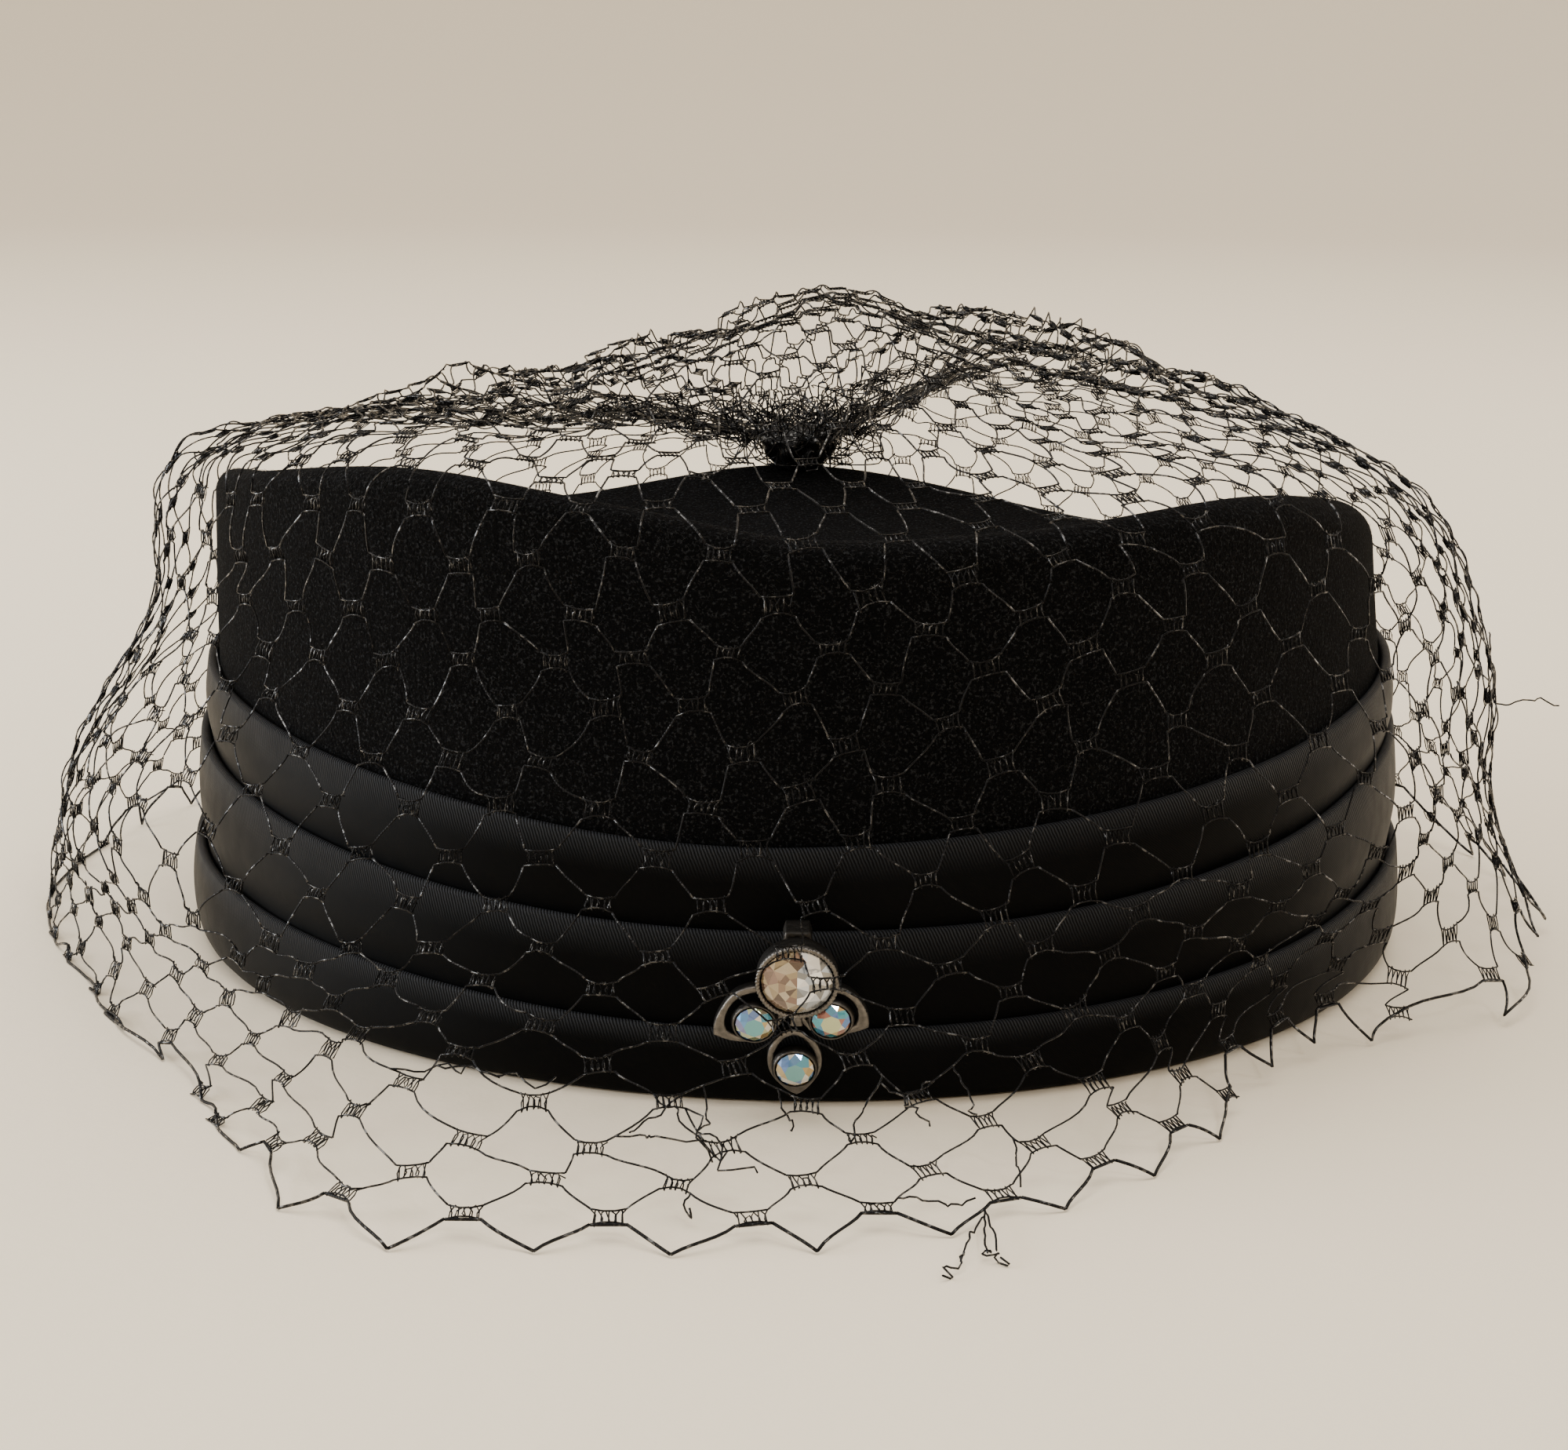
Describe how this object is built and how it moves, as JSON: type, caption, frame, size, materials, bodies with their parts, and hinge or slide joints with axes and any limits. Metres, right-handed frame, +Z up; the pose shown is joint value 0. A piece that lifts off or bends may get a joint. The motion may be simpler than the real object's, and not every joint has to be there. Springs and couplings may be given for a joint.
{
  "type": "pillbox hat",
  "caption": "Black felt pillbox hat with a dished top, overlapping satin folds round the base, a faceted stone brooch at the front and an open net veil over the whole hat.",
  "frame": {"origin": "middle of the hat's footprint, veil included, on the surface that it stands on", "axes": "+Z up, -Y out of the hat's front where the brooch is, +X to the right of someone who faces its front"},
  "size_m": [0.239, 0.298, 0.0933],
  "materials": {
    "felt": "brushed wool felt",
    "satin": "soft satin",
    "gunmetal": "antiqued",
    "clear_stone": "faceted, foil backed",
    "rainbow_stone": "faceted, with a rainbow coating",
    "net": "open net of fine black thread"
  },
  "bodies": {
    "root": {"crown": "felt", "fold_upper": "satin", "fold_middle": "satin", "fold_lower": "satin", "brooch_setting": "gunmetal", "stone_main": "clear_stone", "stone_left": "rainbow_stone", "stone_right": "rainbow_stone", "stone_lower": "rainbow_stone", "veil_gather": "net", "veil": "net"}
  },
  "joints": []
}
